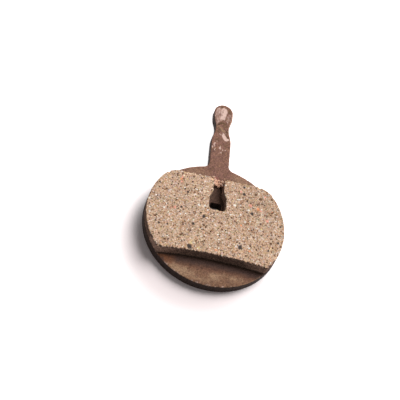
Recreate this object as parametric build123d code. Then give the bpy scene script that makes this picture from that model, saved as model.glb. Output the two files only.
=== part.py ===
"""Bicycle disc brake pad: a stamped steel backing plate with a friction lining bonded to its face.

The plate is a round disc with a waisted stem that ends in a round knob. The lining is moulded on the
disc, cut off straight towards the stem and in a shallow hollow arc at the far side. A keyhole slot in
the lining opens towards the stem and bares the locating hole of the plate.

Millimetres. The origin is the centre of the disc on its back face, +Y runs along the stem to the
knob, and +Z goes from the back face to the friction face.
"""
import os
from build123d import *

# Backing plate: the disc, with a rounded back edge and a broken front edge
disc_radius = 13.0
plate_gauge = 1.8
back_edge_radius = 0.15
front_edge_break = 0.1

# Backing plate: the stem, one stretch after the other from the rim of the disc to the tip
neck_radius = 1.25
stem_width = 3.9
stem_length = 6.2
taper_length = 3.5
waist_width = 2.7
flare_length = 3.1
knob_width = 3.8
knob_straight_length = 1.0

# Backing plate: the square locating hole on the centre line
hole_width = 2.1
hole_length = 2.1
hole_offset = 3.65
hole_corner_radius = 0.4

# Friction lining: distances from the centre of the disc, taken at the plate's face
lining_thickness = 1.75
lining_inset = 0.05
lining_stem_side = 9.5
lining_far_side = 7.75
far_side_arc_radius = 80.0
wall_draft = 9.0
stem_side_corner_radius = 4.0
far_side_corner_radius = 0.6

# Keyhole slot of the lining, with its sizes at the plate's face
hole_border = 0.4
pocket_length = 2.6
pocket_corner_radius = 0.7
shoulder_length = 1.45
channel_width = 1.7
mouth_corner_radius = 0.35
slot_draft = 5.0


def s_bend(start, end):
    """Two equal arcs from start to end, upright at both ends and tangent to each other halfway."""
    middle = ((start[0] + end[0]) / 2, (start[1] + end[1]) / 2)
    return TangentArc(start, middle, tangent=(0, 1)) + TangentArc(end, middle, tangent=(0, -1))


def both_sides(outline):
    """Face inside an outline drawn on the +X side of the centre line, and its mirror image."""
    half = make_face(outline.edges())
    return half + mirror(half, about=Plane.YZ)


def stem_outline():
    """Stem from the centre of the disc to the tip: straight, in to the waist, out to the knob."""
    stem_end = (stem_width / 2, disc_radius + stem_length)
    waist = (waist_width / 2, stem_end[1] + taper_length)
    knob_start = (knob_width / 2, waist[1] + flare_length)
    knob_end = (knob_width / 2, knob_start[1] + knob_straight_length)
    tip = (0, knob_end[1] + knob_width / 2)
    outline = Polyline(tip, (0, 0), (stem_width / 2, 0), stem_end)
    outline += s_bend(stem_end, waist)
    outline += s_bend(waist, knob_start)
    outline += Line(knob_start, knob_end)
    outline += TangentArc(knob_end, tip, tangent=(0, 1))
    return both_sides(outline)


def is_neck_corner(vertex):
    """True for a corner where the stem leaves the rim of the disc."""
    from_centre = Vector(vertex.X, vertex.Y).length
    return vertex.Y > 0 and abs(from_centre - disc_radius) < front_edge_break / 100


def make_backing_plate():
    """Stamped blank with neck fillets, treated edges and the locating hole."""
    blank = Circle(disc_radius) + stem_outline()
    blank = fillet(blank.vertices().filter_by(is_neck_corner), neck_radius)
    plate = extrude(blank, plate_gauge)
    plate = fillet(plate.faces().sort_by(Axis.Z)[0].edges(), back_edge_radius)
    plate = chamfer(plate.faces().sort_by(Axis.Z)[-1].edges(), front_edge_break)
    hole = Pos(0, hole_offset) * RectangleRounded(hole_width, hole_length, hole_corner_radius)
    return plate - extrude(hole, plate_gauge)


def lining_band():
    """Band across the disc, past its rim: straight at the stem side, a hollow arc at the far side."""
    reach = disc_radius + lining_thickness
    arc_drop = far_side_arc_radius - (far_side_arc_radius**2 - reach**2) ** 0.5
    far_end_height = -lining_far_side - arc_drop
    far_left = (-reach, far_end_height)
    far_right = (reach, far_end_height)
    outline = ThreePointArc(far_left, (0, -lining_far_side), far_right)
    outline += Polyline(far_right, (reach, lining_stem_side), (-reach, lining_stem_side), far_left)
    return make_face(outline.edges())


def slot_outline():
    """Keyhole: a pocket around the locating hole and a narrower channel out past the stem side."""
    pocket_side = hole_width / 2 + hole_border
    pocket_end = hole_offset - hole_length / 2 - hole_border
    shoulder_start = pocket_end + pocket_length
    shoulder_end = shoulder_start + shoulder_length
    channel_side = channel_width / 2
    outline = Polyline(
        (0, disc_radius),
        (0, pocket_end),
        (pocket_side, pocket_end),
        (pocket_side, shoulder_start),
        (channel_side, shoulder_end),
        (channel_side, disc_radius),
        close=True,
    )
    keyhole = both_sides(outline)
    return fillet(keyhole.vertices().group_by(Axis.Y)[0], pocket_corner_radius)


def rising_edges(block):
    """Edges of the lining that rise from the plate's face to the friction face."""
    return block.edges().filter_by(lambda edge: edge.bounding_box().size.Z > lining_thickness / 2)


def make_friction_lining():
    """Moulded block as wide as the disc, with drafted ends, rounded corners and the keyhole slot."""
    band = extrude(lining_band(), lining_thickness, taper=wall_draft)
    block = extrude(Circle(disc_radius - lining_inset), lining_thickness) & band
    block = fillet(rising_edges(block).group_by(Axis.Y)[-1], stem_side_corner_radius)
    block = fillet(rising_edges(block).group_by(Axis.Y)[0], far_side_corner_radius)
    block -= extrude(slot_outline(), lining_thickness, taper=-slot_draft)
    towards_mouth = rising_edges(block).sort_by(lambda edge: edge.center().Y - abs(edge.center().X))
    block = fillet(towards_mouth[-2:], mouth_corner_radius)
    return Pos(0, 0, plate_gauge) * block


os.makedirs("parts", exist_ok=True)
export_step(make_backing_plate(), "parts/backing_plate.step")
export_step(make_friction_lining(), "parts/friction_lining.step")
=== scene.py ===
import math

import bmesh
import bpy
import numpy as np
from mathutils import Matrix, Vector, kdtree, noise


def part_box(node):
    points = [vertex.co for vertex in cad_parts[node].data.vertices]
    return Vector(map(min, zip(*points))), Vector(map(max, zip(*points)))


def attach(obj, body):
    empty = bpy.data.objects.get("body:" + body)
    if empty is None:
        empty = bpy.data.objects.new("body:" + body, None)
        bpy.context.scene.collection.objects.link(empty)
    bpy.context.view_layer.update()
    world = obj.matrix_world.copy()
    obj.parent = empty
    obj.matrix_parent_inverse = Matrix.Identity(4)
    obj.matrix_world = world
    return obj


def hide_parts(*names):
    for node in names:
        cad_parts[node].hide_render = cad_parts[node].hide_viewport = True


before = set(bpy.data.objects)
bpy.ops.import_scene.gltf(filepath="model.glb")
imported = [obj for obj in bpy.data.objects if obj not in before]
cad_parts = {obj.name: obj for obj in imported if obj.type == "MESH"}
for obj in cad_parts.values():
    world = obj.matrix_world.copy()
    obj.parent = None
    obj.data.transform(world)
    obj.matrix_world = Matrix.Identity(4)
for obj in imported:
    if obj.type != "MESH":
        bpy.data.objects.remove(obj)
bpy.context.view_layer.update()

# A used brake pad: a gritty lining with crumbled edges on a stamped plate with a worn coat of oxide.
# Meshes are shaped in millimetres in the pad's own frame and scaled to metres at the end. Colours are
# linear. Two numbers that a smoothstep takes are where it is 0 and where it reaches 1. Three numbers
# that a noise takes are its amount, the size of its features and its seed, and a step in the noise
# parts one seed from the next.
MM = 0.001
SEED = 11
NOISE_STEP = 17.3

# Camera: where it aims on the plane of the back face, and how it looks there, with angles in degrees
CAMERA_AIM = (-2.67, 6.0, 0.0)
CAMERA_HEADING = 14.88
CAMERA_ELEVATION = 53.22
CAMERA_ROLL = 24.23
CAMERA_DISTANCE = 186.52
CAMERA_LENS = 90.0
CAMERA_SENSOR = 36.0
CAMERA_NEAR = 5.0

# Light: headings run from +Y towards +X, in degrees
KEY_LIGHT = {"heading": 42, "elevation": 49, "distance": 420, "size": 290, "power": 2.1}
WORLD_STRENGTH = 0.22

# Floor: pale, tinted pink to warm its shadow as painted bounce light, and just below the pad. It glows
# white away from a place under it, painted light that fades the pad's shadow, so its shadow stays near it
FLOOR_SIZE = 4000.0
FLOOR_GAP = 0.01
FLOOR_COLOUR = (0.94, 0.84, 0.84, 1)
FLOOR_ROUGHNESS = 0.9
LIFT_CENTRE = (-3.0, -5.0, 0.0)
LIFT_REACH = (9.5, 20.0)
LIFT_STRENGTH = 0.9

# Grid pitch of the detailed meshes
LINING_PITCH = 0.08
PLATE_PITCH = 0.125
RESIDUE_PITCH = 0.06

# Levels and a radius that the two solids give, how near a level a point counts as on it, and how far
# below the top of the lining the points of its face and of its rounded edge may lie
PLATE_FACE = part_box("friction_lining")[0].z / MM
LINING_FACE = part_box("friction_lining")[1].z / MM
DISC_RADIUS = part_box("backing_plate")[1].x / MM
LEVEL_SLACK = 0.02
FACE_DEPTH = 0.1
EDGE_DEPTH = 0.3

# How far a surface faces up: 1 on a flat face, less on a rounded edge, 0 on a wall and -1 underneath.
# Above FLAT is a face, below STEEP a wall, and a turn is where a wall becomes a face
FLAT = 0.9
STEEP = 0.3
UNDERSIDE = -0.7
FLAT_UNDERSIDE = -0.99
LINING_TURN = (0.25, 0.6)
PLATE_TURN = (0.55, 0.85)

# Parts of the pad in plan: where its far side starts, and how far the slot reaches
FAR_SIDE = -6.0
SLOT_MOUTH = 9.4
SLOT_REACH = 2.0

# Grains of the lining: for each kind its share, its colour and its height as a multiple of the relief
GRAIN_SPACING = 0.17
GRAIN_WARP = (0.07, 0.16, 3)
GRAIN_KINDS = {
    "tan": (0.42, (0.612, 0.392, 0.264), 0.1),
    "beige": (0.17, (0.700, 0.522, 0.392), 0.3),
    "brown": (0.13, (0.475, 0.277, 0.173), -0.2),
    "grey": (0.08, (0.55, 0.415, 0.330), 0.1),
    "olive": (0.06, (0.455, 0.338, 0.20), -0.1),
    "rose": (0.015, (0.66, 0.415, 0.315), 0.1),
    "umber": (0.070, (0.165, 0.088, 0.050), -0.8),
    "black": (0.010, (0.075, 0.058, 0.052), -0.5),
    "salmon": (0.001, (0.78, 0.36, 0.27), 0.2),
    "orange": (0.0015, (0.82, 0.34, 0.17), 0.2),
    "white": (0.022, (0.90, 0.83, 0.74), 0.4),
    "straw": (0.006, (0.80, 0.61, 0.31), 0.3),
}

# How grains of one kind differ: in tone, which acts least on red and most on blue, and in hue
GRAIN_TONE = 0.14
TONE_RANGE = (0.5, 1.5)
TONE_TILT = (0.7, 1.05, 1.4)
GRAIN_HUE = (0.025, 0.022, 0.07)
COLOUR_RANGE = (0.02, 0.95)

# Tone from area to area of the lining, and a shade over its quarter at +X and +Y
AREA_NOISE = (0.10, 2.2, 5)
FACE_SHADE = 0.13
SHADE_X = (1, 7)
SHADE_Y = (-4, 6)

# Relief of the grains and of the grooves between them, and the share of it that walls have
GRAIN_RELIEF = 0.035
GRAIN_RISE = 0.6
HEIGHT_RANGE = (-0.12, 0.05)
GROOVE_DEPTH = 0.02
GROOVE_WIDTH = 0.05
FINE_NOISE = (0.010, 0.12, 7)
WALL_RELIEF = 0.5

# Dark skin of the lining's walls, with painted light in the slot, and lighter at the -X and +X ends of
# the far wall
WALL_COLOUR = (0.125, 0.080, 0.061)
SPECK_SPREAD = 0.3
SPECK_RANGE = (0.4, 3.0)
SLOT_WALL_PAINTED_LIGHT = 1.1
END_WALL_LIGHTENING = (1.0, 0.5)
END_WALL_REACH = (4.5, 8.5)

# Foot of the lining's walls: darker, a painted contact shade, and up to a height where distances to the
# lining are taken from
WALL_FOOT = (0.05, 0.4)
WALL_FOOT_SHADE = 0.6
FOOT_HEIGHT = 0.15

# Ragged outline of pits, chips and bites, as a share of their radius
OUTLINE_NOISE = (0.55, 0.3, 21)

# Small dark pits strewn over the friction face
PIT_COUNT = 225
PIT_RADII = (0.07, 0.17)
PIT_EDGE = (0.6, 1.1)
PIT_DEPTH = 0.08
PIT_COLOUR = (0.092, 0.048, 0.029)

# Larger chips, nearly flush with the friction face: x, y and radius for each kind
CHIP_EDGE = (0.75, 1.05)
CHIP_FLUSH = 0.7
CHIPS = {
    "black": (
        (-2.35, 0.05, 0.36),
        (-4.1, -1.95, 0.30),
        (-4.4, -6.75, 0.45),
        (-6.55, 1.1, 0.26),
        (-5.7, 4.7, 0.26),
        (-10.3, -3.25, 0.22),
        (-8.8, -3.1, 0.20),
        (4.8, 8.4, 0.28),
        (4.85, 6.85, 0.34),
        (5.5, 5.45, 0.22),
        (6.6, 2.85, 0.32),
        (4.8, -4.9, 0.52),
        (4.6, -4.0, 0.18),
        (6.0, -2.55, 0.20),
        (12.1, 1.3, 0.20),
        (11.8, -2.35, 0.24),
        (10.05, -4.4, 0.24),
    ),
    "umber": (
        (-2.2, -1.8, 0.26),
        (-4.25, 0.55, 0.20),
        (-8.05, 3.15, 0.20),
        (-9.7, 4.4, 0.24),
        (-6.05, 6.1, 0.24),
        (-4.5, 6.4, 0.20),
        (-4.9, 8.4, 0.22),
        (-7.6, 2.4, 0.22),
        (-6.0, -2.2, 0.20),
        (-6.15, -4.8, 0.26),
        (-9.0, -6.35, 0.26),
        (7.1, 7.3, 0.30),
        (8.0, 6.5, 0.34),
        (10.2, 7.1, 0.22),
        (1.0, -0.7, 0.26),
        (1.2, -1.95, 0.22),
        (2.65, -2.85, 0.20),
        (10.4, -2.8, 0.30),
        (10.4, -0.4, 0.22),
    ),
    "salmon": (
        (-7.0, 7.8, 0.24),
        (-7.05, 6.65, 0.24),
        (-7.8, 0.7, 0.28),
        (4.25, 7.25, 0.24),
        (6.2, 4.6, 0.36),
        (8.25, 3.85, 0.26),
        (9.55, 1.95, 0.34),
        (8.85, 7.2, 0.22),
    ),
    "orange": (
        (-7.2, 7.25, 0.24),
        (7.65, 4.15, 0.34),
        (4.65, -0.2, 0.22),
        (6.55, -5.3, 0.22),
        (0.4, -6.5, 0.22),
    ),
    "white": (
        (-3.45, 2.3, 0.24),
        (-2.35, 2.4, 0.22),
        (-9.75, 0.25, 0.24),
        (3.2, 3.95, 0.28),
        (2.55, 1.7, 0.22),
        (5.85, 3.5, 0.22),
        (5.35, 0.75, 0.22),
    ),
    "straw": (
        (-4.35, -6.0, 0.24),
        (-4.1, -5.55, 0.18),
        (-2.75, -6.75, 0.26),
    ),
}

# Crumbs broken off the top edge: how many, how large, and how deep for their size
CRUMB_COUNT = 260
CRUMB_RADII = (0.06, 0.20)
CRUMB_DEPTH = 0.4

# Nibbles out of the far edge, darkened towards the colour of the wall
NIBBLE_COUNT = 85
NIBBLE_RADII = (0.09, 0.22)
NIBBLE_DEPTH = 0.5
NIBBLE_EDGE = (1.1, 0.6)
NIBBLE_DARKENING = 0.9

# Larger bites out of the top edge: x, y and radius, with fresh breaks at the stem side that are lighter,
# partly as a painted highlight
BREAK_AND_HIGHLIGHT_COLOUR = (0.76, 0.51, 0.30)
BREAK_AND_HIGHLIGHT_EDGE = (1.3, 0.5)
BREAK_AND_HIGHLIGHT_STRENGTH = 0.5
EDGE_BITES = (
    (-6.4, 9.2, 0.45),
    (-5.6, 9.2, 0.40),
    (-4.3, 9.2, 0.45),
    (-3.2, 9.2, 0.38),
    (-1.3, 9.2, 0.45),
    (-1.0, 9.0, 0.55),
    (1.1, 9.1, 0.35),
    (3.2, 9.2, 0.30),
    (7.6, 8.7, 0.35),
    (-4.4, -8.1, 0.40),
    (2.0, -8.1, 0.30),
    (7.4, -8.3, 0.30),
    (12.4, -2.2, 0.32),
    (-9.3, 7.6, 0.40),
    (-10.1, -7.8, 0.50),
    (-9.6, -8.0, 0.35),
)

# Compound caked in the mouth of the slot: a heap of lumps, higher along the slot's walls
LUMP_COUNT = 120
LUMP_RADII = (0.13, 0.28)
LUMP_SUBDIVISIONS = 3
HEAP_SIDE = 1.05
HEAP_STRETCH = (8.4, 9.7)
HEAP_HEIGHTS = (0.55, 1.6)
# Grains of the residue tinted pink and brightened, the brightening painted light against the shade of the
# slot's wall
RESIDUE_TINT_AND_LIGHT = (1.16, 1.06, 1.07)
RESIDUE_RELIEF = 1.5
RESIDUE_NOISE = (0.10, 0.4, 71)
RESIDUE_SEAT = 0.15

# Loose crumbs stuck to the plate beside the lining: x, y and radius, with their centres lifted by a
# share of the radius
LOOSE_LIFT = 1 / 3
LOOSE_CRUMBS = (
    (-1.25, 9.55, 0.30),
    (-0.9, 9.75, 0.26),
    (-0.5, 9.65, 0.28),
    (-0.1, 9.75, 0.22),
    (0.4, 9.65, 0.24),
    (0.8, 9.75, 0.18),
    (2.5, 9.8, 0.18),
    (2.8, 10.1, 0.13),
    (1.5, 9.8, 0.16),
    (-1.6, 9.7, 0.20),
    (-2.3, 9.8, 0.14),
    (-4.4, 9.7, 0.15),
    (-6.0, 9.8, 0.20),
    (-5.6, 9.9, 0.12),
)

# Oxide of the plate: mottled all over, most on the stem and the back, darker and olive at the far side
OXIDE_BROWN = (0.225, 0.110, 0.082)
OXIDE_OLIVE = (0.240, 0.124, 0.072)
OXIDE_MOTTLE = ((0.22, 1.1, 31), (0.20, 0.4, 33), (0.25, 0.2, 34))
BACK_MOTTLE = ((0.35, 3.5, 47), (0.2, 1.4, 48))
PLATE_MOTTLE = 0.7
STEM_MOTTLE = 0.7
STEM_START = (14, 18)
OXIDE_TONES = (0.4, 1.7)
OLIVE_LEAST = 0.2
OLIVE_FAR = 0.8
OLIVE_NOISE = (0.8, 0.7, 32)
FAR_FADE = (-6, -9)
FAR_SHADE = 0.16

# Dark sheared rim of the plate, with upright streaks
RIM_COLOUR = (0.034, 0.022, 0.019)
RIM_STREAKS = (0.35, 0.25, 37)
RIM_STRETCH = (1, 1, 0.15)

# Grime and painted shade in the slot and at the foot of the lining's walls, and soot beside the lining
# with the painted shadow of its walls, which thins out towards the stem
GRIME_AND_SHADE_COLOUR = (0.044, 0.023, 0.015)
SOOT_AND_SHADOW_COLOUR = (0.066, 0.035, 0.028)
SOOT_AND_SHADOW_NOISE = (0.35, 0.6, 35)
SOOT_AND_SHADOW_REACH = (0.8, 2.2)
SOOT_AND_SHADOW_STRENGTH = 0.97
SOOT_AND_SHADOW_THINNING = 0.85
SOOT_AND_SHADOW_FADE = (5, 9)
FOOT_GRIME_AND_SHADE = (0.45, 0.1)
SLOT_GRIME_AND_SHADE = 0.8
SLOT_NOISE = (0.2, 0.25, 36)

# Reddish fringe of the soot and painted shadow at the far side, and rust in it at the -X end
FRINGE_COLOUR = (0.14, 0.058, 0.034)
FRINGE_START = (0.8, 1.5)
FRINGE_END = (2.8, 1.7)
FRINGE_STRENGTH = 0.65
RUST_X = (-5.8, -7.5)
RUST_NOISE = (1, 0.5, 46)
RUST_EDGE = (-0.4, 0.2)
RUST_STRENGTH = 0.5

# Marks on the upper face of the plate: kind, x, y, radius and strength
MARK_NOISE = ((0.45, 0.45, 63), (0.25, 0.2, 64))
MARK_EDGE = (1.2, 0.2)
MARK_COLOURS = {
    "dust": (0.375, 0.232, 0.142),
    "stain": (0.115, 0.066, 0.030),
    "rust": (0.26, 0.095, 0.035),
    "red": (0.34, 0.13, 0.105),
    "umber": (0.130, 0.062, 0.042),
}
MARKS = (
    ("dust", -7.4, -9.9, 0.8, 0.50),
    ("dust", -6.3, -10.2, 1.3, 0.92),
    ("dust", -4.9, -10.7, 1.4, 0.88),
    ("dust", -3.4, -11.3, 1.2, 0.50),
    ("dust", -2.3, -11.9, 0.7, 0.40),
    ("dust", -1.2, -12.0, 0.8, 0.40),
    ("dust", -0.1, -12.0, 0.8, 0.35),
    ("dust", 0.9, -10.9, 1.3, 0.70),
    ("dust", 2.3, -10.1, 0.9, 0.40),
    ("dust", 4.3, -10.5, 1.0, 0.50),
    ("dust", 5.6, -10.3, 0.9, 0.40),
    ("dust", -1.0, 5.8, 0.8, 0.35),
    ("dust", -5.0, 10.6, 2.2, 0.40),
    ("dust", -2.6, 11.0, 1.2, 0.25),
    ("dust", 3.4, 11.3, 1.2, 0.35),
    ("dust", 4.5, 10.6, 1.5, 0.50),
    ("dust", 6.0, 10.3, 1.3, 0.50),
    ("dust", 7.4, 9.8, 1.0, 0.40),
    ("rust", -7.5, -9.2, 0.55, 0.80),
    ("rust", -7.1, -9.8, 0.35, 0.60),
    ("rust", -8.2, -9.5, 0.40, 0.60),
    ("rust", -6.4, -8.9, 0.40, 0.40),
    ("rust", 8.4, 9.7, 0.50, 0.40),
    ("umber", -0.3, -9.7, 0.9, 0.50),
    ("umber", 0.8, -9.6, 0.9, 0.55),
    ("umber", 1.9, -9.4, 0.9, 0.55),
    ("umber", 2.9, -9.0, 0.8, 0.40),
    ("red", -0.5, 10.5, 0.40, 0.80),
    ("red", 0.0, 10.3, 0.40, 0.80),
    ("red", -0.3, 10.0, 0.45, 0.90),
    ("red", 0.6, 10.1, 0.35, 0.60),
    ("stain", 0.4, 10.5, 0.35, 0.50),
    ("stain", 1.0, 10.1, 0.50, 0.50),
    ("dust", -0.9, 23.0, 0.45, 0.45),
    ("dust", -0.42, 22.6, 0.40, 0.75),
    ("dust", -0.1, 22.3, 0.42, 0.75),
    ("dust", 0.3, 22.0, 0.42, 0.70),
    ("stain", -0.70, 23.62, 0.35, 0.80),
    ("stain", -0.33, 23.90, 0.40, 0.90),
    ("stain", 0.28, 23.90, 0.45, 0.80),
    ("stain", 0.35, 23.40, 0.45, 0.50),
    ("stain", 0.95, 23.30, 0.45, 0.50),
    ("stain", -0.66, 22.45, 0.25, 0.60),
    ("stain", 1.10, 27.35, 0.38, 0.85),
    ("stain", 1.15, 26.90, 0.36, 0.70),
    ("stain", 0.80, 26.30, 0.30, 0.40),
    ("stain", -0.52, 27.98, 0.32, 0.95),
    ("stain", 1.05, 21.9, 0.55, 0.60),
    ("stain", 1.15, 20.7, 0.30, 0.90),
    ("stain", -0.8, 21.8, 0.50, 0.50),
    ("stain", -1.0, 19.6, 0.50, 0.40),
    ("stain", 0.9, 18.4, 0.50, 0.60),
    ("stain", 0.5, 16.6, 0.45, 0.50),
)

# Bare steel on the stem: patches drawn on its face, each with its strength and its corners
STEEL_COLOUR = (0.60, 0.42, 0.36)
STEEL_START = (13.5, 17)
WEAR_WARP = (0.22, 0.35, 61)
PATCH_EDGE = (-0.2, 0.2)
BARE_PATCHES = (
    (0.50, (-1.77, 25.6), (-1.7, 27.3), (-0.75, 28.35), (-0.2, 28.0),
        (-0.2, 25.0), (-0.7, 23.6), (-1.4, 23.2)),
    (0.64, (-0.55, 27.6), (-0.1, 28.05), (0.35, 28.05), (0.85, 27.2),
        (0.62, 25.9), (0.1, 24.6), (-0.6, 24.8)),
    (0.82, (-0.1, 27.8), (0.35, 27.9), (0.72, 27.4), (0.8, 26.9),
        (0.5, 26.0), (0.1, 25.9), (-0.3, 26.4)),
    (0.74, (-0.55, 25.5), (-0.1, 26.0), (0.35, 25.6), (0.1, 24.9), (-0.35, 24.5)),
    (0.46, (0.4, 24.6), (0.5, 25.8), (0.9, 26.6), (1.7, 26.8), (1.75, 25.5), (1.2, 24.4)),
    (0.90, (0.15, 21.75), (0.55, 21.35), (0.95, 20.5), (1.8, 20.2),
        (0.95, 19.6), (0.3, 20.05), (-0.05, 21.0)),
)

# Small bare flecks along the stem: x, y and half length, which the width is a share of
FLECK_WIDTH = 0.34
FLECK_STRENGTH = 0.78
FLECK_EDGE = (1.5, 0.3)
BARE_FLECKS = (
    (-1.30, 18.4, 0.60),
    (-1.65, 17.7, 0.35),
    (-1.05, 17.1, 0.40),
    (-0.13, 17.8, 0.65),
    (0.38, 17.5, 0.35),
    (0.20, 16.6, 0.45),
    (0.88, 24.3, 0.40),
)

# Scuffs strewn over the stem, a little longer than wide
SCUFF_NOISE = (1, 0.3, 51)
SCUFF_STRETCH = (1, 0.6, 1)
SCUFF_EDGE = (0.2, 0.7)
SCUFF_STRENGTH = 0.6

# Top edges of the plate, rubbed bare in places and painted lighter as a highlight, most where they
# face +X, towards the lamp, and on the stem's half
RUB_AND_HIGHLIGHT_COLOUR = (0.60, 0.36, 0.22)
RUB_AND_HIGHLIGHT_START = (0.25, 0.5)
RUB_AND_HIGHLIGHT_END = (0.99, 0.9)
RUB_AND_HIGHLIGHT_CLEARANCE = 0.6
RUB_AND_HIGHLIGHT_NOISE = (1, 0.45, 39)
RUB_AND_HIGHLIGHT_GAPS = (-0.7, 0.1)
HIGHLIGHT_SIDE = (-0.5, 0.1)
RUB_AND_HIGHLIGHT_Y = (-4, 4)
RUB_AND_HIGHLIGHT_LEAST = 0.3
RUB_BARE = 0.7

# Far edge of the disc, worn to a dotted line that ends towards +X, painted pale as worn steel and as a
# highlight
DOT_WIDTH = (0.35, 0.1)
DOT_NOISE = (1, 0.35, 38)
DOT_GAPS = (0.0, 0.35)
DOT_SIDE = -8
DOT_X = (6, 3)
DOT_STRENGTH = 0.75

# Relief of the coat and of the sheared rim, and the depth of bare patches
COAT_RELIEF = ((0.012, 0.9, 41), (0.007, 0.3, 43))
SHEAR_RELIEF = (0.010, 0.3, 45)
SHEAR_STRETCH = (1, 1, 0.1)
BARE_DEPTH = 0.02

# Nicks across the waist, each drawn by its half width, depth and points
NICK_WARP = (0.1, 0.3, 65)
NICK_EDGE = (0.2, 1.0)
NICK_GRIME = 0.75
NICKS = (
    (0.14, 0.09, ((-1.0, 23.2), (-0.75, 23.6), (-0.5, 23.95), (-0.15, 24.05))),
    (0.12, 0.06, ((-0.84, 22.8), (-0.42, 22.2), (0.0, 21.7))),
    (0.10, 0.05, ((-0.1, 23.2), (0.3, 22.7), (0.94, 21.9))),
    (0.13, 0.08, ((0.6, 21.4), (0.95, 20.95), (1.3, 20.6))),
)

# Shallow pits strewn over the coat, away from the lining
COAT_PIT_COUNT = 160
COAT_PIT_CLEARANCE = 0.4
COAT_PIT_RADII = (0.12, 0.26)
COAT_PIT_EDGE = (0.3, 1.0)
COAT_PIT_DEPTH = 0.04
COAT_PIT_GRIME = 0.5

# Dents strewn along the plate's edges, and deeper nicks in its rim: x and y
DENT_COUNT = 120
DENT_CLEARANCE = 0.5
DENT_RADII = (0.10, 0.28)
DENT_DEPTH = 0.10
RIM_NICKS = ((1.76, -12.9), (3.37, -12.5), (-2.5, -12.7))
RIM_NICK_RADIUS = 0.35
RIM_NICK_DEPTH = 0.4

# Fine wavy cells that break up every colour, and the values that a noise texture mostly takes
CELLS_PER_MM = 7.5
CELL_WAVES_PER_MM = 9.0
CELL_WAVE_SHIFT = 0.25
NOISE_SPAN = (0.3, 0.7)
BUMP_HEIGHT = 0.03

# Finish of the lining: matt, with dust finer than the cells
LINING_CELL_TONES = (0.68, 1.32)
LINING_DUST_TONES = (0.8, 1.2)
LINING_DUST_PER_MM = 16.0
LINING_ROUGHNESS = (0.8, 0.98)
LINING_SPECULAR = 0.06
LINING_BUMP = 0.4

# Finish of the plate: how metallic bare patches and rubbed, highlit edges are, and where wear bares the
# steel
PATCH_POLISH = 0.1
EDGE_POLISH = 0.3
WEAR_SPAN = (0.78, 1.27)
WEAR_PER_MM = 3.5
WEAR_STRETCH = (1, 0.4, 1)
PLATE_CELL_TONES = (0.6, 1.4)
STEEL_TONES = (0.84, 1.16)
STEEL_ROUGHNESS = 0.5
COAT_ROUGHNESS = (0.55, 0.8)
SPECKLES_PER_MM = 7.0
PLATE_SPECULAR = 0.11
PLATE_BUMP = 0.3


# Meshes and their points


def even_grid(mesh, pitch):
    """Mesh of the same form, rebuilt as an even grid of quads of that pitch."""
    source = bpy.data.objects.new("source", mesh)
    bpy.context.scene.collection.objects.link(source)
    remesh = source.modifiers.new("grid", "REMESH")
    remesh.mode = "VOXEL"
    remesh.voxel_size = pitch
    bpy.context.view_layer.update()
    depsgraph = bpy.context.evaluated_depsgraph_get()
    grid = bpy.data.meshes.new_from_object(source.evaluated_get(depsgraph))
    bpy.data.objects.remove(source)
    bpy.data.meshes.remove(mesh)
    grid.materials.clear()
    return grid


def fine_copy(node, pitch):
    """Mesh of a CAD node in millimetres, as an even grid."""
    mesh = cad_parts[node].data.copy()
    mesh.transform(Matrix.Scale(1 / MM, 4))
    return even_grid(mesh, pitch)


def flat_underside(mesh, level):
    """Replaces the grid of a flat underside by a plain fill of its outline."""
    shape = bmesh.new()
    shape.from_mesh(mesh)
    down = [face for face in shape.faces if face.normal.z < FLAT_UNDERSIDE]
    low = [face for face in down if abs(face.calc_center_median().z - level) < LEVEL_SLACK]
    bmesh.ops.delete(shape, geom=low, context="FACES")
    outline = [edge for edge in shape.edges if edge.is_boundary]
    bmesh.ops.triangle_fill(shape, edges=outline, use_beauty=True, normal=(0, 0, -1))
    bmesh.ops.recalc_face_normals(shape, faces=shape.faces)
    shape.to_mesh(mesh)
    shape.free()


def read_points(mesh):
    """Places and normals of a mesh's vertices."""
    points = np.empty(len(mesh.vertices) * 3, np.float32)
    normals = np.empty(len(mesh.vertices) * 3, np.float32)
    mesh.vertices.foreach_get("co", points)
    mesh.vertex_normals.foreach_get("vector", normals)
    return points.reshape(-1, 3).astype(float), normals.reshape(-1, 3).astype(float)


def store_colour(mesh, name, colours):
    """Writes a colour for each vertex as a named attribute."""
    layer = mesh.attributes.new(name, "FLOAT_COLOR", "POINT")
    rgba = np.ones((len(colours), 4), np.float32)
    rgba[:, :3] = colours
    layer.data.foreach_set("color", rgba.ravel())


def store_value(mesh, name, values):
    """Writes a number for each vertex as a named attribute."""
    layer = mesh.attributes.new(name, "FLOAT", "POINT")
    layer.data.foreach_set("value", values.astype(np.float32))


def piece_from(mesh, points, name):
    """Object of a mesh with moved points, smooth shaded, scaled to metres."""
    mesh.vertices.foreach_set("co", (points * MM).astype(np.float32).ravel())
    mesh.update()
    mesh.shade_smooth()
    mesh.name = name
    piece = bpy.data.objects.new(name, mesh)
    bpy.context.scene.collection.objects.link(piece)
    return piece


# Noise, distances and blends


def smooth_noise(points, size, seed):
    """Smooth noise from -1 to 1 at each point, with features of about that size."""
    shifted = points / size + seed * NOISE_STEP
    return np.array([noise.noise(p) for p in shifted])


def layered_noise(points, *layers):
    """Sum of smooth noises, each given by its amount, size and seed."""
    return sum(amount * smooth_noise(points, size, seed) for amount, size, seed in layers)


def warped(points, amount, size, seed):
    """Points shifted by noise, so that what is looked up there gets ragged edges."""
    shift = [smooth_noise(points, size, seed + axis) for axis in range(3)]
    return points + amount * np.stack(shift, axis=1)


def smoothstep(start, end, value):
    """0 up to start, 1 from end on and a smooth change between, whichever of the two is higher."""
    share = np.clip((value - start) / (end - start), 0, 1)
    return share * share * (3 - 2 * share)


def blend(low, high, amount):
    """Colours between two others, by an amount from 0 to 1 for each point."""
    return low + (np.array(high) - low) * amount[:, None]


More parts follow.
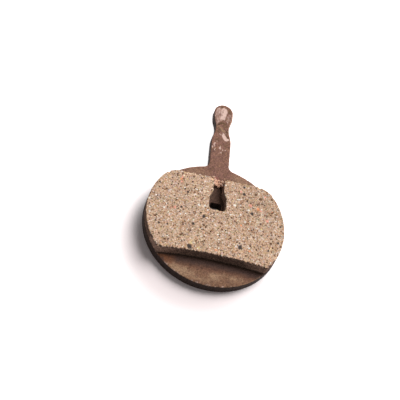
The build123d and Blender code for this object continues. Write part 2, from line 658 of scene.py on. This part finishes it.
def point_tree(places):
    """Search tree of some places, numbered in their order."""
    tree = kdtree.KDTree(len(places))
    for number, place in enumerate(places):
        tree.insert(place, number)
    tree.balance()
    return tree


def nearest(points, places):
    """Distance from each point to the nearest of some places."""
    tree = point_tree(places)
    return np.array([tree.find(p)[2] for p in points])


def nearest_two(points, places):
    """Number of the place nearest to each point, and the distances to the two nearest."""
    tree = point_tree(places)
    found = [tree.find_n(p, 2) for p in points]
    number = np.array([two[0][1] for two in found])
    first = np.array([two[0][2] for two in found])
    second = np.array([two[1][2] for two in found])
    return number, first, second


def plan_distance(points, x, y):
    """Distance in plan from each point to one place."""
    return np.hypot(points[:, 0] - x, points[:, 1] - y)


def polyline_distance(points, line):
    """Distance in plan from each point to an open line of corners."""
    away = np.full(len(points), np.inf)
    for start, end in zip(line[:-1], line[1:]):
        start = np.array(start)
        along = np.array(end) - start
        share = np.clip((points[:, :2] - start) @ along / (along @ along), 0, 1)
        foot = start + share[:, None] * along
        away = np.minimum(away, np.linalg.norm(points[:, :2] - foot, axis=1))
    return away


def polygon_depth(points, corners):
    """Distance in plan to the outline of a patch, positive inside it and negative outside."""
    ring = list(corners) + [corners[0]]
    inside = np.zeros(len(points), bool)
    for (x0, y0), (x1, y1) in zip(ring[:-1], ring[1:]):
        spans = (y0 > points[:, 1]) != (y1 > points[:, 1])
        crossing = x0 + (x1 - x0) * (points[:, 1] - y0) / (y1 - y0 if y1 != y0 else 1)
        inside ^= spans & (points[:, 0] < crossing)
    return np.where(inside, 1, -1) * polyline_distance(points, ring)


def in_slot(points):
    """True for the points that lie in the slot or on its walls, in plan."""
    return (points[:, 1] > 0) & (points[:, 1] < SLOT_MOUTH) & (np.abs(points[:, 0]) < SLOT_REACH)


def bites(points, normals, centres, radii, depth):
    """Hollows a mesh where small chips have broken off, along the normal of each chip's centre."""
    for centre, radius in zip(centres, radii):
        away = np.linalg.norm(points - points[centre], axis=1)
        near = away < radius
        push = depth * radius * (1 - (away[near] / radius) ** 2)
        points[near] -= push[:, None] * normals[centre]
    return points


# Friction lining


def grain_values(place):
    """One value of each kind of grain: its share, its colour or its height."""
    return np.array([kind[place] for kind in GRAIN_KINDS.values()])


def strew_grains(points, pitch, rng):
    """Grain number, kind and groove of each point, for grains strewn over a grid of that pitch."""
    count = int(len(points) * (pitch / GRAIN_SPACING) ** 2)
    seeds = points[rng.choice(len(points), count, replace=False)]
    share = grain_values(0)
    kinds = rng.choice(len(share), count, p=share / share.sum())
    grain, first, second = nearest_two(warped(points, *GRAIN_WARP), seeds)
    groove = 1 - smoothstep(0, GROOVE_WIDTH, second - first)
    return grain, kinds[grain], groove


def grain_colours(points, grain, kind, rng):
    """Colour of each point, a little different from grain to grain and from area to area."""
    count = grain.max() + 1
    tone = np.clip(rng.normal(1.0, GRAIN_TONE, (count, 1)), *TONE_RANGE) ** np.array(TONE_TILT)
    hue = rng.normal(1.0, GRAIN_HUE, (count, 3))
    area = 1 + layered_noise(points, AREA_NOISE)
    area *= 1 - FACE_SHADE * smoothstep(*SHADE_X, points[:, 0]) * smoothstep(*SHADE_Y, points[:, 1])
    return np.clip(grain_values(1)[kind] * (tone * hue)[grain] * area[:, None], *COLOUR_RANGE)


def grain_heights(points, grain, kind, groove, rng):
    """Height of each point over the smooth face, with grooves between the grains."""
    rise = rng.normal(0.0, 1.0, grain.max() + 1)[grain]
    height = np.clip(GRAIN_RELIEF * (GRAIN_RISE * rise + grain_values(2)[kind]), *HEIGHT_RANGE)
    height = height * (1 - groove) - GROOVE_DEPTH * groove
    return height + layered_noise(points, FINE_NOISE)


def with_pits(points, facing, ragged, colour, height, rng):
    """Colours and heights of the lining with dark pits strewn over its face."""
    face = np.flatnonzero((facing > FLAT) & (points[:, 2] > LINING_FACE - FACE_DEPTH))
    for x, y, _ in points[rng.choice(face, PIT_COUNT, replace=False)]:
        radius = rng.uniform(*PIT_RADII)
        hollow = 1 - smoothstep(*PIT_EDGE, plan_distance(points, x, y) / (radius * ragged))
        colour = blend(colour, PIT_COLOUR, hollow)
        height = height - PIT_DEPTH * hollow
    return colour, height


def with_chips(points, ragged, colour, height):
    """Colours and heights of the lining with the listed chips."""
    for kind, places in CHIPS.items():
        for x, y, radius in places:
            chip = 1 - smoothstep(*CHIP_EDGE, plan_distance(points, x, y) / (radius * ragged))
            colour = blend(colour, GRAIN_KINDS[kind][1], chip)
            height = height * (1 - CHIP_FLUSH * chip)
    return colour, height


def with_wall_skin_light_and_shade(points, grain, on_face, colour, rng):
    """Colours of the lining with a dark moulded skin on its walls, painted light in the slot, lighter
    ends of the far wall and painted shade at their foot.
    """
    speck = np.clip(rng.lognormal(0, SPECK_SPREAD, grain.max() + 1), *SPECK_RANGE)[grain]
    # Painted light on the walls in the slot, and lighter ends of the far wall
    end_lightening = END_WALL_LIGHTENING[0] * smoothstep(*END_WALL_REACH, -points[:, 0])
    end_lightening += END_WALL_LIGHTENING[1] * smoothstep(*END_WALL_REACH, points[:, 0])
    lightened = 1 + SLOT_WALL_PAINTED_LIGHT * in_slot(points) + end_lightening * (points[:, 1] < FAR_SIDE)
    colour = blend(np.array(WALL_COLOUR) * (speck * lightened)[:, None], colour, on_face)
    # Painted contact shade at the foot of the walls
    foot = 1 - smoothstep(*WALL_FOOT, points[:, 2] - PLATE_FACE)
    return colour * (1 - WALL_FOOT_SHADE * foot)[:, None]


def with_broken_edges(points, normals, ragged, colour, rng):
    """Points and colours of the lining with crumbs, nibbles and larger bites out of its top edge."""
    facing = normals[:, 2]
    edge = np.flatnonzero((facing > STEEP) & (facing < FLAT) & (points[:, 2] > LINING_FACE - EDGE_DEPTH))
    centres = rng.choice(edge, CRUMB_COUNT, replace=False)
    points = bites(points, normals, centres, rng.uniform(*CRUMB_RADII, CRUMB_COUNT), CRUMB_DEPTH)
    far_edge = edge[points[edge, 1] < FAR_SIDE]
    for centre in rng.choice(far_edge, NIBBLE_COUNT, replace=False):
        radius = rng.uniform(*NIBBLE_RADII)
        away = np.linalg.norm(points - points[centre], axis=1) / (radius * ragged)
        colour = blend(colour, WALL_COLOUR, NIBBLE_DARKENING * smoothstep(*NIBBLE_EDGE, away))
        points = bites(points, normals, [centre], [radius], NIBBLE_DEPTH)
    for x, y, radius in EDGE_BITES:
        centre = edge[np.argmin(plan_distance(points[edge], x, y))]
        away = np.linalg.norm(points - points[centre], axis=1) / (radius * ragged)
        # Breaks on the stem side are lighter, partly fresh compound and partly a painted highlight
        fresh_and_lit = BREAK_AND_HIGHLIGHT_STRENGTH * smoothstep(*BREAK_AND_HIGHLIGHT_EDGE, away) * (y > 0)
        colour = blend(colour, BREAK_AND_HIGHLIGHT_COLOUR, fresh_and_lit)
        points = bites(points, normals, [centre], [radius], CRUMB_DEPTH)
    return points, colour


def make_lining(material):
    """Friction lining: a gritty face, crumbled edges and dark walls. Returns the feet of its walls."""
    rng = np.random.default_rng(SEED)
    mesh = fine_copy("friction_lining", LINING_PITCH)
    flat_underside(mesh, PLATE_FACE)
    points, normals = read_points(mesh)
    facing = normals[:, 2]
    on_face = smoothstep(*LINING_TURN, facing)
    ragged = 1 + layered_noise(points, OUTLINE_NOISE)
    grain, kind, groove = strew_grains(points, LINING_PITCH, rng)
    colour = grain_colours(points, grain, kind, rng)
    height = grain_heights(points, grain, kind, groove, rng)
    colour, height = with_pits(points, facing, ragged, colour, height, rng)
    colour, height = with_chips(points, ragged, colour, height)
    colour = with_wall_skin_light_and_shade(points, grain, on_face, colour, rng)
    height[points[:, 2] < PLATE_FACE + LEVEL_SLACK] = 0
    points = points + normals * (height * (WALL_RELIEF + (1 - WALL_RELIEF) * on_face))[:, None]
    points, colour = with_broken_edges(points, normals, ragged, colour, rng)

    store_colour(mesh, "grain_colour", colour)
    piece = piece_from(mesh, points, "friction_lining_detail")
    mesh.materials.append(material)
    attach(piece, "root")
    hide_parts("friction_lining")
    return points[(points[:, 2] < PLATE_FACE + FOOT_HEIGHT) & (facing > UNDERSIDE)]


# Residue in the slot


def heap_of_lumps(rng):
    """Mesh of lumps in the mouth of the slot and of loose crumbs, flattened at the plate's face."""
    lumps = []
    low, high = HEAP_HEIGHTS
    for _ in range(LUMP_COUNT):
        x = HEAP_SIDE * math.sin(rng.uniform(-math.pi / 2, math.pi / 2))
        y = rng.uniform(*HEAP_STRETCH)
        radius = rng.uniform(*LUMP_RADII)
        heap = low + (high - low) * (x / HEAP_SIDE) ** 2
        lumps.append((x, y, rng.uniform(0, heap - low / 2), radius))
    lumps += [(x, y, radius * LOOSE_LIFT, radius) for x, y, radius in LOOSE_CRUMBS]
    shape = bmesh.new()
    for x, y, height, radius in lumps:
        place = Matrix.Translation((x, y, PLATE_FACE + height))
        bmesh.ops.create_icosphere(shape, subdivisions=LUMP_SUBDIVISIONS, radius=radius, matrix=place)
    for vert in shape.verts:
        vert.co.z = max(vert.co.z, PLATE_FACE)
    mesh = bpy.data.meshes.new("lumps")
    shape.to_mesh(mesh)
    shape.free()
    return mesh


def make_residue(material):
    """Crumbs of compound stuck to the plate in the mouth of the slot and beside the lining."""
    rng = np.random.default_rng(SEED + 2)
    mesh = even_grid(heap_of_lumps(rng), RESIDUE_PITCH)
    points, normals = read_points(mesh)
    grain, kind, groove = strew_grains(points, RESIDUE_PITCH, rng)
    # Tinted pink and brightened, the brightening painted light against the shade of the slot's wall
    colour = grain_colours(points, grain, kind, rng) * np.array(RESIDUE_TINT_AND_LIGHT)
    height = RESIDUE_RELIEF * grain_heights(points, grain, kind, groove, rng)
    height += layered_noise(points, RESIDUE_NOISE)
    height *= smoothstep(PLATE_FACE, PLATE_FACE + RESIDUE_SEAT, points[:, 2])
    store_colour(mesh, "grain_colour", colour)
    piece = piece_from(mesh, points + normals * height[:, None], "slot_residue")
    mesh.materials.append(material)
    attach(piece, "root")


# Backing plate


def oxide(points, facing):
    """Oxide of each point of the plate, before marks, grime, painted shade and wear."""
    y = points[:, 1]
    back = facing < 0
    far = smoothstep(*FAR_FADE, y) * ~back
    mottle = layered_noise(points, *OXIDE_MOTTLE) + back * layered_noise(points, *BACK_MOTTLE)
    olive = np.clip(OLIVE_LEAST + OLIVE_FAR * far + layered_noise(points, OLIVE_NOISE), 0, 1)
    spread = PLATE_MOTTLE + STEM_MOTTLE * smoothstep(*STEM_START, y)
    tone = np.clip(1 + spread * mottle, *OXIDE_TONES) * (1 - FAR_SHADE * far)
    return blend(np.array(OXIDE_BROWN), OXIDE_OLIVE, olive) * tone[:, None]


def with_marks(points, facing, colour):
    """Colours of the plate with the listed marks, and how far stains cover it."""
    ragged = layered_noise(points, *MARK_NOISE)
    stained = np.zeros(len(points))
    for kind, x, y, radius, strength in MARKS:
        away = plan_distance(points, x, y) / radius + ragged
        amount = strength * smoothstep(*MARK_EDGE, away) * (facing > 0)
        colour = blend(colour, MARK_COLOURS[kind], amount)
        if kind == "stain":
            stained = np.maximum(stained, amount)
    return colour, stained


def with_grime_and_shade(points, facing, to_lining, colour):
    """Colours of the plate with soot and painted shadow beside the lining, its fringe, and grime with
    painted shade at the walls' foot and in the slot.
    """
    x = points[:, 0]
    y = points[:, 1]
    slot = in_slot(points)
    away = to_lining + layered_noise(points, SOOT_AND_SHADOW_NOISE)
    fringe = smoothstep(*FRINGE_START, away) * smoothstep(*FRINGE_END, away)
    fringe *= (y < FAR_SIDE) & (facing >= 0)
    colour = blend(colour, FRINGE_COLOUR, FRINGE_STRENGTH * fringe)
    grime_and_shade = 1 - smoothstep(*SOOT_AND_SHADOW_REACH, away)
    grime_and_shade *= SOOT_AND_SHADOW_STRENGTH - SOOT_AND_SHADOW_THINNING * smoothstep(*SOOT_AND_SHADOW_FADE, y)
    grime_and_shade = np.where(slot, SLOT_GRIME_AND_SHADE + layered_noise(points, SLOT_NOISE), grime_and_shade)
    foot = np.maximum(slot, smoothstep(*FOOT_GRIME_AND_SHADE, to_lining))
    rust = smoothstep(*RUST_X, x) * (y < FAR_SIDE) * (1 - foot)
    rust *= smoothstep(*RUST_EDGE, layered_noise(points, RUST_NOISE))
    # The soot stands in partly for the walls' shadow (painted shadow), and the darker grime at their foot
    # and in the slot is partly painted shade
    soot_and_shadow = blend(np.array(SOOT_AND_SHADOW_COLOUR), GRIME_AND_SHADE_COLOUR, foot)
    soot_and_shadow = blend(soot_and_shadow, MARK_COLOURS["rust"], RUST_STRENGTH * rust)
    return blend(colour, soot_and_shadow, grime_and_shade * smoothstep(*PLATE_TURN, facing))


def with_dark_rim(points, rim, colour):
    """Colours of the plate with its dark sheared rim."""
    streaks = 1 + layered_noise(points * np.array(RIM_STRETCH), RIM_STREAKS)
    return blend(colour, np.array(RIM_COLOUR) * streaks[:, None], rim)


def bare_steel(points):
    """How far the coat is worn off the stem at each point, from 0 to 1."""
    ragged = warped(points, *WEAR_WARP)
    scuffs = layered_noise(points * np.array(SCUFF_STRETCH), SCUFF_NOISE)
    bare = SCUFF_STRENGTH * smoothstep(*SCUFF_EDGE, scuffs)
    for strength, *corners in BARE_PATCHES:
        bare = np.maximum(bare, strength * smoothstep(*PATCH_EDGE, polygon_depth(ragged, corners)))
    for x, y, half_length in BARE_FLECKS:
        away = np.hypot((ragged[:, 0] - x) / FLECK_WIDTH, ragged[:, 1] - y) / half_length
        bare = np.maximum(bare, FLECK_STRENGTH * smoothstep(*FLECK_EDGE, away))
    return bare * smoothstep(*STEEL_START, points[:, 1])


def rubbed_and_highlit_edges(points, normals, to_lining):
    """How far the top edges of the plate are rubbed bare and painted lighter as a highlight at each
    point, from 0 to 1.
    """
    facing = normals[:, 2]
    rubbed_and_highlit = smoothstep(*RUB_AND_HIGHLIGHT_START, facing) * smoothstep(*RUB_AND_HIGHLIGHT_END, facing) * (to_lining > RUB_AND_HIGHLIGHT_CLEARANCE)
    rubbed_and_highlit *= smoothstep(*RUB_AND_HIGHLIGHT_GAPS, layered_noise(points, RUB_AND_HIGHLIGHT_NOISE))
    rubbed_and_highlit *= smoothstep(*HIGHLIGHT_SIDE, normals[:, 0])
    rubbed_and_highlit *= RUB_AND_HIGHLIGHT_LEAST + (1 - RUB_AND_HIGHLIGHT_LEAST) * smoothstep(*RUB_AND_HIGHLIGHT_Y, points[:, 1])
    return rubbed_and_highlit * ~in_slot(points)


def worn_highlit_dots(points):
    """How far the far edge of the disc is worn bare and painted as a highlight at each point, from 0 to
    1.
    """
    from_rim = DISC_RADIUS - np.hypot(points[:, 0], points[:, 1])
    dots = smoothstep(*DOT_WIDTH, from_rim) * smoothstep(*DOT_GAPS, layered_noise(points, DOT_NOISE))
    return dots * (points[:, 1] < DOT_SIDE) * smoothstep(*DOT_X, points[:, 0])


def with_nicks(points, top, colour, bare, height):
    """Colours, bareness and heights of the plate with the nicks across its waist."""
    ragged = warped(points, *NICK_WARP)
    for half_width, depth, line in NICKS:
        groove = top * (1 - smoothstep(*NICK_EDGE, polyline_distance(ragged, line) / half_width))
        colour = blend(colour, GRIME_AND_SHADE_COLOUR, NICK_GRIME * groove)
        bare = bare * (1 - groove)
        height = height - depth * groove
    return colour, bare, height


def with_coat_pits(points, facing, to_lining, colour, height, rng):
    """Colours and heights of the plate with shallow pits strewn over its faces."""
    face = np.flatnonzero((np.abs(facing) > FLAT) & (to_lining > COAT_PIT_CLEARANCE))
    for centre in points[rng.choice(face, COAT_PIT_COUNT, replace=False)]:
        away = np.linalg.norm(points - centre, axis=1) / rng.uniform(*COAT_PIT_RADII)
        hollow = 1 - smoothstep(*COAT_PIT_EDGE, away)
        colour = blend(colour, GRIME_AND_SHADE_COLOUR, COAT_PIT_GRIME * hollow)
        height = height - COAT_PIT_DEPTH * hollow
    return colour, height


def with_dents(points, normals, to_lining, rng):
    """Points of the plate with dented edges and a few nicks in the rim."""
    slope = np.abs(normals[:, 2])
    edge = np.flatnonzero((slope > STEEP) & (slope < FLAT) & (to_lining > DENT_CLEARANCE))
    centres = rng.choice(edge, DENT_COUNT, replace=False)
    points = bites(points, normals, centres, rng.uniform(*DENT_RADII, DENT_COUNT), DENT_DEPTH)
    for x, y in RIM_NICKS:
        away = np.linalg.norm(points - np.array([x, y, PLATE_FACE]), axis=1)
        points = bites(points, normals, [np.argmin(away)], [RIM_NICK_RADIUS], RIM_NICK_DEPTH)
    return points


def make_plate(material, wall_feet):
    """Backing plate: oxide with worn patches and nicks, dark sheared rim, grime, soot and painted shade
    beside the lining, and painted highlights on its rubbed edges.
    """
    rng = np.random.default_rng(SEED + 1)
    mesh = fine_copy("backing_plate", PLATE_PITCH)
    points, normals = read_points(mesh)
    facing = normals[:, 2]
    top = smoothstep(*PLATE_TURN, facing)
    rim = smoothstep(*reversed(PLATE_TURN), np.abs(facing))
    to_lining = nearest(points, wall_feet)

    # Coat, wear and grime, with painted shade and painted highlights
    colour, stained = with_marks(points, facing, oxide(points, facing))
    colour = with_grime_and_shade(points, facing, to_lining, colour)
    colour = with_dark_rim(points, rim, colour)
    rubbed_and_highlit = rubbed_and_highlit_edges(points, normals, to_lining)
    bare = np.maximum(bare_steel(points) * top * (1 - stained), RUB_BARE * rubbed_and_highlit)
    # Rubbed edges painted lighter as a highlight, most on the side towards the lamp
    colour = blend(colour, RUB_AND_HIGHLIGHT_COLOUR, rubbed_and_highlit)
    # Far edge worn to bare steel, its dotted line also a painted highlight
    colour = blend(colour, STEEL_COLOUR, DOT_STRENGTH * top * worn_highlit_dots(points))

    # Relief, which only ever takes material away
    height = layered_noise(points, *COAT_RELIEF)
    height += rim * layered_noise(points * np.array(SHEAR_STRETCH), SHEAR_RELIEF)
    height -= BARE_DEPTH * bare * top
    colour, bare, height = with_nicks(points, top, colour, bare, height)
    colour, height = with_coat_pits(points, facing, to_lining, colour, height, rng)
    points = points + normals * np.minimum(height, 0)[:, None]
    points = with_dents(points, normals, to_lining, rng)

    store_colour(mesh, "coat_colour", colour)
    store_value(mesh, "bare", bare)
    store_value(mesh, "polish", PATCH_POLISH + (EDGE_POLISH - PATCH_POLISH) * rubbed_and_highlit)
    piece = piece_from(mesh, points, "backing_plate_detail")
    mesh.materials.append(material)
    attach(piece, "root")
    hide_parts("backing_plate")


# Materials


def new_material(name):
    """New node material, with its nodes, its links and its principled shader."""
    material = bpy.data.materials.new(name)
    material.use_nodes = True
    nodes = material.node_tree.nodes
    return nodes, material.node_tree.links, nodes["Principled BSDF"], material


def add_node(nodes, kind, **settings):
    """New node with some of its properties and input sockets set."""
    node = nodes.new(kind)
    for key, value in settings.items():
        socket = key.replace("_", " ")
        if socket in node.inputs:
            node.inputs[socket].default_value = value
        else:
            setattr(node, key, value)
    return node


def map_range(nodes, old, new, **settings):
    """New node that maps one range of values to another and stays within it."""
    node = add_node(nodes, "ShaderNodeMapRange", From_Min=old[0], From_Max=old[1], **settings)
    node.inputs["To Min"].default_value = new[0]
    node.inputs["To Max"].default_value = new[1]
    return node


def wavy_cells(nodes, links, place, tones):
    """Random colour of small cells with wavy outlines, split into channels, and a tone for each cell."""
    waves = add_node(nodes, "ShaderNodeTexNoise", Scale=CELL_WAVES_PER_MM / MM, Detail=2.0)
    shift = add_node(nodes, "ShaderNodeVectorMath", operation="MULTIPLY_ADD")
    shift.inputs[1].default_value = (CELL_WAVE_SHIFT * MM,) * 3
    cells = add_node(nodes, "ShaderNodeTexVoronoi", Scale=CELLS_PER_MM / MM, Randomness=1.0)
    split = add_node(nodes, "ShaderNodeSeparateColor")
    tone = map_range(nodes, (0, 1), tones)
    links.new(place.outputs["Object"], waves.inputs["Vector"])
    links.new(waves.outputs["Color"], shift.inputs[0])
    links.new(place.outputs["Object"], shift.inputs[2])
    links.new(shift.outputs["Vector"], cells.inputs["Vector"])
    links.new(cells.outputs["Color"], split.inputs["Color"])
    links.new(split.outputs["Red"], tone.inputs["Value"])
    return split, tone


def lining_material():
    """Grain colours from the mesh, broken up by finer grains and roughened."""
    nodes, links, shader, material = new_material("lining_grit")
    shader.inputs["Specular IOR Level"].default_value = LINING_SPECULAR
    place = add_node(nodes, "ShaderNodeTexCoord")

    # Colour: each cell has a tone of its own, and dust changes it within the cell
    colour = add_node(nodes, "ShaderNodeAttribute", attribute_name="grain_colour")
    cells, cell_tone = wavy_cells(nodes, links, place, LINING_CELL_TONES)
    dust = add_node(nodes, "ShaderNodeTexNoise", Scale=LINING_DUST_PER_MM / MM, Detail=3.0, Roughness=0.6)
    dust_tone = map_range(nodes, NOISE_SPAN, LINING_DUST_TONES)
    tone = add_node(nodes, "ShaderNodeMath", operation="MULTIPLY")
    toned = add_node(nodes, "ShaderNodeVectorMath", operation="SCALE")
    links.new(place.outputs["Object"], dust.inputs["Vector"])
    links.new(dust.outputs["Fac"], dust_tone.inputs["Value"])
    links.new(cell_tone.outputs["Result"], tone.inputs[0])
    links.new(dust_tone.outputs["Result"], tone.inputs[1])
    links.new(colour.outputs["Color"], toned.inputs[0])
    links.new(tone.outputs["Value"], toned.inputs["Scale"])
    links.new(toned.outputs["Vector"], shader.inputs["Base Color"])

    # Roughness from cell to cell, and a bump that follows the tone
    rough = map_range(nodes, (0, 1), LINING_ROUGHNESS)
    bump = add_node(nodes, "ShaderNodeBump", Strength=LINING_BUMP, Distance=BUMP_HEIGHT * MM)
    links.new(cells.outputs["Green"], rough.inputs["Value"])
    links.new(rough.outputs["Result"], shader.inputs["Roughness"])
    links.new(tone.outputs["Value"], bump.inputs["Height"])
    links.new(bump.outputs["Normal"], shader.inputs["Normal"])
    return material


def plate_material():
    """Coat colours from the mesh, finely speckled, over bare steel with ragged outlines."""
    nodes, links, shader, material = new_material("plate_coat")
    shader.inputs["Specular IOR Level"].default_value = PLATE_SPECULAR
    place = add_node(nodes, "ShaderNodeTexCoord")

    # Coat: each cell has a tone of its own
    coat = add_node(nodes, "ShaderNodeAttribute", attribute_name="coat_colour")
    _, cell_tone = wavy_cells(nodes, links, place, PLATE_CELL_TONES)
    toned = add_node(nodes, "ShaderNodeVectorMath", operation="SCALE")
    links.new(coat.outputs["Color"], toned.inputs[0])
    links.new(cell_tone.outputs["Result"], toned.inputs["Scale"])

    # Steel: a fine speckle lightens and darkens it
    speckle = add_node(nodes, "ShaderNodeTexNoise", Scale=SPECKLES_PER_MM / MM, Detail=4.0, Roughness=0.7)
    steel_tone = map_range(nodes, NOISE_SPAN, STEEL_TONES)
    steel = add_node(nodes, "ShaderNodeVectorMath", operation="SCALE")
    steel.inputs[0].default_value = STEEL_COLOUR
    links.new(place.outputs["Object"], speckle.inputs["Vector"])
    links.new(speckle.outputs["Fac"], steel_tone.inputs["Value"])
    links.new(steel_tone.outputs["Result"], steel.inputs["Scale"])

    # Wear: noise drawn out along the stem makes the outlines of the bare patches ragged
    bare = add_node(nodes, "ShaderNodeAttribute", attribute_name="bare")
    stretch = add_node(nodes, "ShaderNodeMapping", Scale=WEAR_STRETCH)
    ragged = add_node(nodes, "ShaderNodeTexNoise", Scale=WEAR_PER_MM / MM, Detail=4.0, Roughness=0.65)
    lifted = add_node(nodes, "ShaderNodeMath", operation="ADD")
    worn = map_range(nodes, WEAR_SPAN, (0, 1), interpolation_type="SMOOTHSTEP")
    mix = add_node(nodes, "ShaderNodeMix", data_type="RGBA")
    links.new(place.outputs["Object"], stretch.inputs["Vector"])
    links.new(stretch.outputs["Vector"], ragged.inputs["Vector"])
    links.new(bare.outputs["Fac"], lifted.inputs[0])
    links.new(ragged.outputs["Fac"], lifted.inputs[1])
    links.new(lifted.outputs["Value"], worn.inputs["Value"])
    links.new(worn.outputs["Result"], mix.inputs["Factor"])
    links.new(toned.outputs["Vector"], mix.inputs["A"])
    links.new(steel.outputs["Vector"], mix.inputs["B"])
    links.new(mix.outputs["Result"], shader.inputs["Base Color"])

    # Gloss: bare steel is a little metallic and smoother than the coat
    polish = add_node(nodes, "ShaderNodeAttribute", attribute_name="polish")
    metal = add_node(nodes, "ShaderNodeMath", operation="MULTIPLY")
    rough_coat = map_range(nodes, (0, 1), COAT_ROUGHNESS)
    rough = add_node(nodes, "ShaderNodeMix", data_type="FLOAT")
    rough.inputs["B"].default_value = STEEL_ROUGHNESS
    bump = add_node(nodes, "ShaderNodeBump", Strength=PLATE_BUMP, Distance=BUMP_HEIGHT * MM)
    links.new(worn.outputs["Result"], metal.inputs[0])
    links.new(polish.outputs["Fac"], metal.inputs[1])
    links.new(metal.outputs["Value"], shader.inputs["Metallic"])
    links.new(speckle.outputs["Fac"], rough_coat.inputs["Value"])
    links.new(worn.outputs["Result"], rough.inputs["Factor"])
    links.new(rough_coat.outputs["Result"], rough.inputs["A"])
    links.new(rough.outputs["Result"], shader.inputs["Roughness"])
    links.new(speckle.outputs["Fac"], bump.inputs["Height"])
    links.new(bump.outputs["Normal"], shader.inputs["Normal"])
    return material


# Camera, floor and light


def direction(heading, elevation):
    """Unit vector towards a heading, from +Y towards +X, and an elevation above the floor."""
    turn = math.radians(heading)
    rise = math.radians(elevation)
    return Vector((math.sin(turn) * math.cos(rise), math.cos(turn) * math.cos(rise), math.sin(rise)))


def make_camera():
    """Camera with a long lens that looks down on the pad from its far side, the stem nearly upright."""
    data = bpy.data.cameras.new("camera")
    data.lens = CAMERA_LENS
    data.sensor_width = CAMERA_SENSOR
    data.clip_start = CAMERA_NEAR * MM
    forward = direction(CAMERA_HEADING, -CAMERA_ELEVATION)
    level = forward.to_track_quat("-Z", "Y").to_matrix()
    turn = level @ Matrix.Rotation(math.radians(CAMERA_ROLL), 3, "Z")
    camera = bpy.data.objects.new("camera", data)
    place = (Vector(CAMERA_AIM) - forward * CAMERA_DISTANCE) * MM
    camera.matrix_world = Matrix.Translation(place) @ turn.to_4x4()
    bpy.context.scene.collection.objects.link(camera)
    bpy.context.scene.camera = camera


def make_lamp(name, heading, elevation, distance, size, power):
    """Square soft lamp that points at the middle of the pad."""
    data = bpy.data.lights.new(name, "AREA")
    data.energy = power
    data.size = size * MM
    lamp = bpy.data.objects.new(name, data)
    towards = direction(heading, elevation)
    turn = towards.to_track_quat("Z", "Y").to_matrix().to_4x4()
    lamp.matrix_world = Matrix.Translation(towards * distance * MM) @ turn
    bpy.context.scene.collection.objects.link(lamp)


def seen_directly(nodes, links):
    """Output that is 1 for rays from the camera, off metal or through glass, and 0 for the rest."""
    path = add_node(nodes, "ShaderNodeLightPath")
    shown = add_node(nodes, "ShaderNodeMath", operation="MAXIMUM")
    through = add_node(nodes, "ShaderNodeMath", operation="MAXIMUM")
    links.new(path.outputs["Is Camera Ray"], shown.inputs[0])
    links.new(path.outputs["Is Glossy Ray"], shown.inputs[1])
    links.new(shown.outputs["Value"], through.inputs[0])
    links.new(path.outputs["Is Transmission Ray"], through.inputs[1])
    return through.outputs["Value"]


def floor_material():
    """Pale pink floor that keeps the pad's shadow and glows white further out, as painted light."""
    nodes, links, shader, material = new_material("floor")
    shader.inputs["Base Color"].default_value = FLOOR_COLOUR
    shader.inputs["Roughness"].default_value = FLOOR_ROUGHNESS
    shader.inputs["Specular IOR Level"].default_value = 0.0
    shader.inputs["Emission Color"].default_value = (1, 1, 1, 1)
    place = add_node(nodes, "ShaderNodeTexCoord")
    away = add_node(nodes, "ShaderNodeVectorMath", operation="DISTANCE")
    away.inputs[1].default_value = Vector(LIFT_CENTRE) * MM
    reach = [distance * MM for distance in LIFT_REACH]
    # Painted light: the floor glows white where seen directly, more the further it lies from under the
    # pad
    fade = map_range(nodes, reach, (0, LIFT_STRENGTH), interpolation_type="SMOOTHSTEP")
    lift = add_node(nodes, "ShaderNodeMath", operation="MULTIPLY")
    links.new(place.outputs["Object"], away.inputs[0])
    links.new(away.outputs["Value"], fade.inputs["Value"])
    links.new(fade.outputs["Result"], lift.inputs[0])
    links.new(seen_directly(nodes, links), lift.inputs[1])
    links.new(lift.outputs["Value"], shader.inputs["Emission Strength"])
    return material


def make_floor():
    """Large square floor under the pad."""
    half = FLOOR_SIZE / 2 * MM
    corners = [(-half, -half, 0), (half, -half, 0), (half, half, 0), (-half, half, 0)]
    mesh = bpy.data.meshes.new("floor")
    mesh.from_pydata(corners, [], [(0, 1, 2, 3)])
    mesh.materials.append(floor_material())
    floor = bpy.data.objects.new("floor", mesh)
    floor.location.z = -FLOOR_GAP * MM
    bpy.context.scene.collection.objects.link(floor)


def make_light():
    """White surroundings and one large soft lamp, beyond the stem and to its +X side."""
    world = bpy.data.worlds.new("studio")
    world.use_nodes = True
    nodes = world.node_tree.nodes
    links = world.node_tree.links
    sky = nodes["Background"]
    sky.inputs["Color"].default_value = (1, 1, 1, 1)
    level = map_range(nodes, (0, 1), (WORLD_STRENGTH, 1))
    links.new(seen_directly(nodes, links), level.inputs["Value"])
    links.new(level.outputs["Result"], sky.inputs["Strength"])
    bpy.context.scene.world = world
    make_lamp("key", **KEY_LIGHT)


bpy.context.scene.view_settings.view_transform = "Standard"
make_camera()
make_floor()
make_light()
grit = lining_material()
wall_feet = make_lining(grit)
make_residue(grit)
make_plate(plate_material(), wall_feet)
